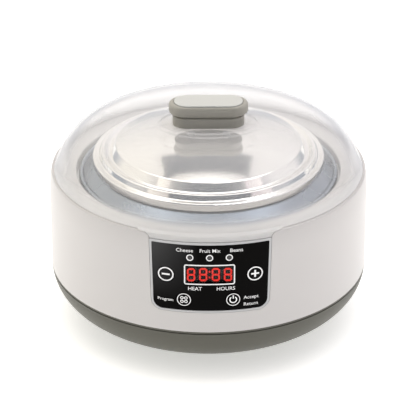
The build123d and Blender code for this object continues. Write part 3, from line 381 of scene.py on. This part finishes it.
# %% Finish: lit red segments
lit_red, tree = new_finish("diffused_red_segments")
place = add_node(tree, "ShaderNodeTexCoord").outputs["Object"]
patch = add_node(tree, "ShaderNodeTexNoise", {"Scale": 1 / (3 * mm), "Detail": 1.0}, {"Vector": place})
power = add_node(
    tree, "ShaderNodeMapRange", {"To Min": 1.2, "To Max": 2.0}, {"Value": patch.outputs["Fac"]}
)
shader = add_node(
    tree,
    "ShaderNodeBsdfPrincipled",
    {"Base Color": linear("7A1512"), "Roughness": 0.4, "Emission Color": linear("F2382E")},
    {"Emission Strength": power.outputs["Result"]},
)
add_node(tree, "ShaderNodeOutputMaterial", links={"Surface": shader.outputs["BSDF"]})
coat(["display_digits"], lit_red)
print("figures glow with:", lit_red.name)

# %% [markdown]
# The pieces inside the housing are seen only when it is opened, but each has a finish of its own:
# lacquered boards, moulded epoxy, nylon, rubber, silicone, plated steel and brass.

# %% Finishes of the inner pieces
board_green = moulded_abs("lacquered_circuit_board", "1F5A34", "184A2A", 0.30, 0.8, 0.02)
black_epoxy = moulded_abs("moulded_epoxy_black", "1B1B1D", "232326", 0.45, 0.4, 0.03)
white_nylon = moulded_abs("moulded_nylon_natural", "DEDACE", "D3CFC2", 0.40, 0.5, 0.03)
yellow_tape = moulded_abs("polyester_tape_yellow", "D2B13A", "C6A32E", 0.35, 0.7, 0.03)
grey_sleeve = moulded_abs("extruded_vinyl_grey", "9C9CA0", "929296", 0.42, 0.5, 0.03)
white_sleeve = moulded_abs("extruded_silicone_white", "E2DED4", "D8D4CA", 0.50, 0.5, 0.03)
orange_mat = moulded_abs("pressed_silicone_orange", "B9592B", "AE5026", 0.55, 0.9, 0.08)
foot_rubber = moulded_abs("moulded_rubber_black", "232323", "2A2A2A", 0.70, 0.5, 0.06)
clear_silicone = moulded_abs("moulded_silicone_pale", "DCDCD8", "D2D2CE", 0.45, 0.6, 0.03)
plated_steel = pressed_steel("zinc_plated_steel", "B9BCC0", 0.30, 0.5, 0.01)
sheet_steel = pressed_steel("galvanised_sheet_steel", "A9ADB1", 0.38, 3.0, 0.02)
plated_brass = pressed_steel("nickel_plated_brass", "C9BD9A", 0.25, 0.5, 0.01)
clear_rod = moulded_abs("polished_acrylic_rod", "2A2A2C", "323234", 0.10, 0.8, 0.01)
coat(["control_board", "power_board"], board_green)
coat(
    ["key_switches", "display_module", "control_chip", "buzzer", "capacitors", "relay"]
    + ["temperature_sensor", "inlet_housing"],
    black_epoxy,
)
coat(["indicator_leds", "thermal_fuse", "terminal_blocks", "board_connectors"], white_nylon)
coat(["transformer"], yellow_tape)
coat(["ribbon_cable"], grey_sleeve)
coat(["heater_leads", "mains_leads"], white_sleeve)
coat(["heating_element"], orange_mat)
coat(["rubber_feet"], foot_rubber)
coat(["lid_gasket"], clear_silicone)
coat(
    ["base_screws", "board_screws", "clamp_screws", "shield_screws", "power_board_screws", "knob_screws"],
    plated_steel,
)
coat(["element_clamp", "sensor_clip", "fuse_clip", "heat_shield"], sheet_steel)
coat(["inlet_pins"], plated_brass)
coat(["light_pipes"], clear_rod)
print("finishes in all:", len(bpy.data.materials))

# %% [markdown]
# The knob is one moulding with soft lips: a foot, a waist that leaves room for the fingertips, and
# a head that rolls over at its top and tucks in underneath. Each block starts as a box whose upright
# edges are rounded first and whose rims are rounded after, as a toolmaker would cut them.


# %% Soft knob
def select_edges(piece, rule):
    """Enter edit mode with only the edges selected whose two ends pass a rule."""
    points = piece.data.vertices
    bpy.ops.object.mode_set(mode="EDIT")
    bpy.ops.mesh.select_mode(type="EDGE")
    bpy.ops.mesh.select_all(action="DESELECT")
    bpy.ops.object.mode_set(mode="OBJECT")
    for edge in piece.data.edges:
        edge.select = rule(points[edge.vertices[0]].co, points[edge.vertices[1]].co)
    bpy.ops.object.mode_set(mode="EDIT")


def rounded_block(length, width, low_z, high_z, end_flat, low_round, high_round):
    """Make a box with almost round ends and with rounded rims."""
    bpy.ops.object.select_all(action="DESELECT")
    bpy.ops.mesh.primitive_cube_add(size=1.0)
    block = bpy.context.object
    for vertex in block.data.vertices:
        height = high_z if vertex.co.z > 0 else low_z
        vertex.co = (vertex.co.x * length, vertex.co.y * width, height)
    select_edges(block, lambda a, b: abs(a.z - b.z) > 0.1 * mm)
    bpy.ops.mesh.bevel(offset=(width - end_flat) / 2, segments=14, affect="EDGES")
    bpy.ops.object.mode_set(mode="OBJECT")
    for level, radius in ((low_z, low_round), (high_z, high_round)):
        if radius > 0:
            select_edges(block, lambda a, b: max(abs(a.z - level), abs(b.z - level)) < 0.01 * mm)
            bpy.ops.mesh.bevel(offset=radius, segments=6, affect="EDGES")
            bpy.ops.object.mode_set(mode="OBJECT")
    return block


def combine(piece, tool, operation):
    """Join a tool to a piece, or cut it away from the piece, and remove the tool."""
    bpy.ops.object.select_all(action="DESELECT")
    piece.select_set(True)
    bpy.context.view_layer.objects.active = piece
    change = piece.modifiers.new("combine", "BOOLEAN")
    change.operation = operation
    change.object = tool
    change.solver = "EXACT"
    bpy.ops.object.modifier_apply(modifier=change.name)
    bpy.data.objects.remove(tool)


low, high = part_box("knob_grip")
head_length = high.x - low.x
head_width = high.y - low.y
head_foot_z = high.z - 7.4 * mm
foot_top_z = high.z - 8.2 * mm
end_flat = 1.0 * mm
head_low_round, head_high_round, foot_round = 2.2 * mm, 2.6 * mm, 1.0 * mm
foot_length, foot_width = 47.0 * mm, 20.0 * mm
waist_length, waist_width = 44.6 * mm, 17.6 * mm
waist_low_z = low.z + 1.0 * mm
waist_high_z = high.z - 3.0 * mm
seat_overcut = 2.0 * mm
smooth_below = radians(35)
knob = rounded_block(
    head_length, head_width, head_foot_z, high.z, end_flat, head_low_round, head_high_round
)
foot = rounded_block(foot_length, foot_width, low.z, foot_top_z, end_flat, 0.0, foot_round)
waist = rounded_block(waist_length, waist_width, waist_low_z, waist_high_z, end_flat, 0.0, 0.0)
inlay_low, inlay_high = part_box("knob_inlay")
groove = 0.35 * mm
seat = rounded_block(
    inlay_high.x - inlay_low.x + 2 * groove,
    inlay_high.y - inlay_low.y + 2 * groove,
    inlay_low.z,
    high.z + seat_overcut,
    end_flat,
    0.0,
    0.0,
)
combine(knob, waist, "UNION")
combine(knob, foot, "UNION")
combine(knob, seat, "DIFFERENCE")
bpy.ops.object.shade_smooth_by_angle(angle=smooth_below)
knob.name = "knob_soft_grip"
knob.data.name = "knob_soft_grip"
knob.data.materials.clear()
knob.data.materials.append(knob_abs)
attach(knob, "cover")
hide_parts("knob_grip")
print("knob faces:", len(knob.data.polygons))

# %% [markdown]
# The words, rings and signs on the panel are screen-printed in white ink, which is also given a
# faint painted glow. Each print is a thin layer: it is drawn flat, then wrapped on the panel's
# curve, then thickened by a hair.

# %% Finish: printing ink
ink, tree = new_finish("screen_printed_ink_white")
place = add_node(tree, "ShaderNodeTexCoord").outputs["Object"]
speck = add_node(tree, "ShaderNodeTexNoise", {"Scale": 1 / (0.4 * mm), "Detail": 2.0}, {"Vector": place})
cover_share = add_node(
    tree,
    "ShaderNodeMix",
    {"data_type": "RGBA", 6: linear("F4F4F4"), 7: linear("E4E4E4")},
    {0: speck.outputs["Fac"]},
)
# The ink also glows faintly white: painted light that keeps the print bright.
shader = add_node(
    tree,
    "ShaderNodeBsdfPrincipled",
    {"Roughness": 0.5, "Emission Color": linear("FFFFFF"), "Emission Strength": 0.12},
    {"Base Color": cover_share.outputs[2]},
)
add_node(tree, "ShaderNodeOutputMaterial", links={"Surface": shader.outputs["BSDF"]})


# %% Helpers for the printing
lens_radius = -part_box("panel_lens")[0].y
panel_bottom_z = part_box("panel_lens")[0].z
ink_gap = 0.01 * mm
ink_thickness = 0.03 * mm
cap_share = 1.37


def print_on_panel(parts, name, body):
    """Join flat prints, wrap them on the panel's curve, thicken them and let them ride on a body."""
    bpy.ops.object.select_all(action="DESELECT")
    for part in parts:
        part.select_set(True)
    bpy.context.view_layer.objects.active = parts[0]
    if len(parts) > 1:
        bpy.ops.object.join()
    piece = bpy.context.object
    for vertex in piece.data.vertices:
        vertex.co.y = -sqrt((lens_radius + ink_gap) ** 2 - vertex.co.x**2)
    bpy.ops.object.mode_set(mode="EDIT")
    bpy.ops.mesh.select_all(action="SELECT")
    bpy.ops.mesh.normals_make_consistent(inside=False)
    bpy.ops.object.mode_set(mode="OBJECT")
    for face in piece.data.polygons:
        if face.normal.y > 0:
            face.flip()
    layer = piece.modifiers.new("ink layer", "SOLIDIFY")
    layer.thickness = ink_thickness
    layer.offset = 1.0
    bpy.ops.object.modifier_apply(modifier=layer.name)
    piece.name = name
    piece.data.name = name
    piece.data.materials.clear()
    piece.data.materials.append(ink)
    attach(piece, body)
    return piece


def stand_up(piece, x, z):
    """Move a flat print from the floor plan to its upright place on the panel."""
    for vertex in piece.data.vertices:
        vertex.co = (x + vertex.co.x, 0.0, z + vertex.co.y)
    return piece


def flat_ring(x, z, outer_radius, line, gap=0.0):
    """Draw a ring: a circle's edge drawn inwards by its line, open at its top by a gap in radians."""
    bpy.ops.object.select_all(action="DESELECT")
    bpy.ops.mesh.primitive_circle_add(vertices=60, radius=outer_radius, enter_editmode=True)
    bpy.ops.mesh.select_all(action="SELECT")
    bpy.ops.mesh.extrude_edges_move()
    shrink = (outer_radius - line) / outer_radius
    bpy.ops.transform.resize(value=(shrink, shrink, 1.0), center_override=(0.0, 0.0, 0.0))
    bpy.ops.mesh.select_all(action="DESELECT")
    bpy.ops.object.mode_set(mode="OBJECT")
    ring = bpy.context.object
    for face in ring.data.polygons:
        face.select = gap > 0 and face.center.y > 0 and abs(face.center.x / face.center.y) < tan(gap / 2)
    if gap > 0:
        bpy.ops.object.mode_set(mode="EDIT")
        bpy.ops.mesh.delete(type="FACE")
        bpy.ops.object.mode_set(mode="OBJECT")
    return stand_up(ring, x, z)


def flat_bar(x, z, width, height):
    """Draw a bar, divided across so that it can follow the panel's curve."""
    bpy.ops.object.select_all(action="DESELECT")
    bpy.ops.mesh.primitive_grid_add(x_subdivisions=6, y_subdivisions=1, size=1.0)
    bar = bpy.context.object
    for vertex in bar.data.vertices:
        vertex.co = (vertex.co.x * width, vertex.co.y * height, 0.0)
    return stand_up(bar, x, z)


def flat_word(text, x, z, height):
    """Write a word, made a mesh before it is placed."""
    bpy.ops.object.select_all(action="DESELECT")
    bpy.ops.object.text_add()
    word = bpy.context.object
    word.data.body = text
    word.data.size = height * cap_share
    word.data.align_x = "CENTER"
    word.data.align_y = "CENTER"
    word.data.resolution_u = 3
    word.data.offset = height * 0.012
    bpy.ops.object.convert(target="MESH")
    return stand_up(bpy.context.object, x, z)


def flat_frame(x, z, width, height, corner, line):
    """Draw a frame: a plate with rounded corners, inset by its line and opened in the middle."""
    bpy.ops.object.select_all(action="DESELECT")
    bpy.ops.mesh.primitive_plane_add(size=1.0)
    plate = bpy.context.object
    for vertex in plate.data.vertices:
        vertex.co = (vertex.co.x * width, vertex.co.y * height, 0.0)
    bpy.ops.object.mode_set(mode="EDIT")
    bpy.ops.mesh.select_all(action="SELECT")
    bpy.ops.mesh.bevel(affect="VERTICES", offset=corner, segments=8)
    bpy.ops.mesh.select_all(action="SELECT")
    bpy.ops.mesh.inset(thickness=line)
    bpy.ops.mesh.delete(type="FACE")
    bpy.ops.object.mode_set(mode="OBJECT")
    points = plate.data.vertices
    for edge in plate.data.edges:
        first, second = (points[i].co for i in edge.vertices)
        edge.select = abs(first.x - second.x) > width / 4
    bpy.ops.object.mode_set(mode="EDIT")
    bpy.ops.mesh.select_mode(type="EDGE")
    bpy.ops.mesh.subdivide(number_cuts=24)
    bpy.ops.mesh.select_mode(type="VERT")
    bpy.ops.object.mode_set(mode="OBJECT")
    return stand_up(plate, x, z)


# %% [markdown]
# Each key carries its own print, so the print moves with the key. The rings are drawn a little
# inside the key's edge, because the ink must not reach the gap round it.

# %% Key rings and signs
side_ring = 4.9 * mm
side_line = 0.8 * mm
lower_ring = 4.4 * mm
lower_line = 0.5 * mm
sign_length = 5.0 * mm
sign_line = 1.15 * mm
petal = 1.1 * mm
petal_pitch = 1.25 * mm
power_ring = 2.5 * mm
power_line = 0.75 * mm


def key_middle(name):
    """Give the middle of a key, across and up."""
    low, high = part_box(name)
    return (low.x + high.x) / 2, (low.z + high.z) / 2


x, z = key_middle("minus_key")
minus_parts = [flat_ring(x, z, side_ring, side_line), flat_bar(x, z, sign_length, sign_line)]
print_on_panel(minus_parts, "minus_key_print", "minus_key")

x, z = key_middle("plus_key")
arm = (sign_length - sign_line) / 2
plus_parts = [flat_ring(x, z, side_ring, side_line), flat_bar(x, z, sign_length, sign_line)]
for side in (-1, 1):
    plus_parts.append(flat_bar(x, z + side * (sign_line + arm) / 2, sign_line, arm))
print_on_panel(plus_parts, "plus_key_print", "plus_key")

x, z = key_middle("function_key")
function_parts = [flat_ring(x, z, lower_ring, lower_line)]
for side in (-1, 1):
    for rise in (-1, 1):
        function_parts.append(flat_ring(x + side * petal_pitch, z + rise * petal_pitch, petal, lower_line))
print_on_panel(function_parts, "function_key_print", "function_key")

x, z = key_middle("confirm_key")
power_parts = [
    flat_ring(x, z, lower_ring, lower_line),
    flat_ring(x, z, power_ring, power_line, gap=radians(75)),
    flat_bar(x, z + power_ring * 0.75, power_line, power_ring),
]
print_on_panel(power_parts, "confirm_key_print", "confirm_key")

# %% [markdown]
# A ring marks each of the three indicator lights, and a rounded frame marks the display. The
# programme names stand over the lights and the units stand under the figures.

# %% Indicator rings, display frame and words
low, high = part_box("light_pipes")
pipe_width = high.z - low.z
pipe_pitch = (high.x - low.x - pipe_width) / 2
lights = [
    flat_ring((low.x + high.x) / 2 + step * pipe_pitch, (low.z + high.z) / 2, 2.25 * mm, 0.65 * mm)
    for step in (-1, 0, 1)
]
print_on_panel(lights, "indicator_rings", "housing")

low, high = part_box("display_window")
frame_reach = 0.9 * mm
display_frame = flat_frame(
    (low.x + high.x) / 2,
    (low.z + high.z) / 2,
    high.x - low.x + 2 * frame_reach,
    high.z - low.z + 2 * frame_reach,
    1.4 * mm,
    0.8 * mm,
)
print_on_panel([display_frame], "display_frame", "housing")

word_places = {
    "Cheese": (-16.2, 42.5, 2.6),
    "Fruit Mix": (-0.4, 42.5, 2.6),
    "Beans": (16.2, 42.5, 2.6),
    "HEAT": (-9.8, 15.6, 2.6),
    "HOURS": (9.6, 15.6, 2.6),
    "Program": (-28.3, 6.6, 2.1),
    "Accept": (25.6, 8.2, 2.4),
    "Return": (25.4, 3.4, 2.4),
}
words = [flat_word(t, x * mm, panel_bottom_z + z * mm, h * mm) for t, (x, z, h) in word_places.items()]
print_on_panel(words, "panel_words", "housing")

# %% [markdown]
# The studio is a table of opal acrylic lit from below, a bright soft box above and a little
# behind, and two weak ones at the front corners. The table glows by itself, so that it stays
# white under the object.

# %% Floor
bpy.ops.object.select_all(action="DESELECT")
bpy.ops.mesh.primitive_plane_add(size=8.0)
floor = bpy.context.object
floor.name = "studio_floor"
floor_finish, tree = new_finish("backlit_opal_acrylic")
place = add_node(tree, "ShaderNodeTexCoord").outputs["Object"]
fibre = add_node(tree, "ShaderNodeTexNoise", {"Scale": 6.0, "Detail": 2.0}, {"Vector": place})
shade = add_node(
    tree,
    "ShaderNodeMix",
    {"data_type": "RGBA", 6: linear("FBFBFA"), 7: linear("F9F9F8")},
    {0: fibre.outputs["Fac"]},
)
shader = add_node(
    tree,
    "ShaderNodeBsdfPrincipled",
    {"Roughness": 0.9, "Emission Color": linear("FFFFFC"), "Emission Strength": 0.5},
    {"Base Color": shade.outputs[2]},
)
add_node(tree, "ShaderNodeOutputMaterial", links={"Surface": shader.outputs["BSDF"]})
floor.data.materials.append(floor_finish)
print("floor:", floor.name, [round(v, 2) for v in floor.dimensions])


# %% Lights
def soft_box(name, place, aim, width, depth, power, colour="FFFFFF"):
    """Hang a rectangular soft box at a place and turn it to an aim."""
    bpy.ops.object.select_all(action="DESELECT")
    bpy.ops.object.light_add(type="AREA", location=place)
    lamp = bpy.context.object
    lamp.name = name
    lamp.rotation_euler = (Vector(aim) - Vector(place)).to_track_quat("-Z", "Y").to_euler()
    lamp.data.shape = "RECTANGLE"
    lamp.data.size = width
    lamp.data.size_y = depth
    lamp.data.energy = power
    lamp.data.color = linear(colour)[:3]
    return lamp


soft_box("top_soft_box", (0.0, 0.22, 1.35), (0.0, 0.1, 0.1), 1.8, 1.0, 8.0)
soft_box("left_soft_box", (-1.3, -1.0, 0.75), (0.0, 0.0, 0.08), 0.7, 1.0, 1.7, "FFF2E4")
soft_box("right_soft_box", (1.3, -0.95, 0.75), (0.0, 0.0, 0.08), 0.7, 1.0, 1.6, "FFECEA")

# %% [markdown]
# Polished steel shows its surroundings, so a blue-grey card hangs behind and above the lid. The
# front of the dome mirrors it as a cool patch, which makes the steel read as steel.

# %% Card for the steel to mirror
card_pivot_z = 0.12
card_distance = 1.2
card_rise = radians(49.0)
card_width = 0.49
card_depth = 0.28
bpy.ops.object.select_all(action="DESELECT")
bpy.ops.mesh.primitive_plane_add(
    size=1.0,
    location=(0.0, card_distance * cos(card_rise), card_pivot_z + card_distance * sin(card_rise)),
    rotation=(pi / 2 + card_rise, 0.0, 0.0),
)
card = bpy.context.object
card.name = "studio_card"
for vertex in card.data.vertices:
    vertex.co = (vertex.co.x * card_width, vertex.co.y * card_depth, 0.0)
card_finish, tree = new_finish("matte_card_blue_grey")
place = add_node(tree, "ShaderNodeTexCoord").outputs["Object"]
fibre = add_node(tree, "ShaderNodeTexNoise", {"Scale": 12.0, "Detail": 2.0}, {"Vector": place})
shade = add_node(
    tree,
    "ShaderNodeMix",
    {"data_type": "RGBA", 6: linear("1B2A40"), 7: linear("22324A")},
    {0: fibre.outputs["Fac"]},
)
shader = add_node(tree, "ShaderNodeBsdfPrincipled", {"Roughness": 0.9}, {"Base Color": shade.outputs[2]})
add_node(tree, "ShaderNodeOutputMaterial", links={"Surface": shader.outputs["BSDF"]})
card.data.materials.append(card_finish)
print("card:", [round(v, 2) for v in card.dimensions])

# %% [markdown]
# The world is the room round the studio. It is a white backdrop behind, a little creamier on the
# left, and it is dim and cool in front and along the horizon. The dim band is what draws the
# rings of the lid, because their steep sides mirror it.

# %% World
world = bpy.data.worlds.new("studio_room")
bpy.context.scene.world = world
world.use_nodes = True
room = world.node_tree
room.nodes.clear()
direction = add_node(room, "ShaderNodeTexCoord").outputs["Generated"]
height = add_node(room, "ShaderNodeSeparateXYZ", links={"Vector": direction})
backdrop = add_node(
    room, "ShaderNodeMapRange", {"From Min": -0.70, "From Max": -0.10}, {"Value": height.outputs["Y"]}
)
side = add_node(
    room, "ShaderNodeMapRange", {"From Min": -0.32, "From Max": 0.32}, {"Value": height.outputs["X"]}
)
skyline = add_node(
    room, "ShaderNodeMapRange", {"From Min": 0.06, "From Max": 0.22}, {"Value": height.outputs["Z"]}
)
sheet = add_node(
    room,
    "ShaderNodeMix",
    {"data_type": "RGBA", 6: linear("FFF9EF"), 7: linear("F3EFF1")},
    {0: side.outputs["Result"]},
)
wall = add_node(
    room,
    "ShaderNodeMix",
    {"data_type": "RGBA", 6: linear("3A4553")},
    {0: backdrop.outputs["Result"], 7: sheet.outputs[2]},
)
rim = add_node(
    room,
    "ShaderNodeMix",
    {"data_type": "RGBA", 6: linear("7C8898")},
    {0: skyline.outputs["Result"], 7: wall.outputs[2]},
)
background = add_node(room, "ShaderNodeBackground", {"Strength": 1.2}, {"Color": rim.outputs[2]})
add_node(room, "ShaderNodeOutputWorld", links={"Surface": background.outputs["Background"]})
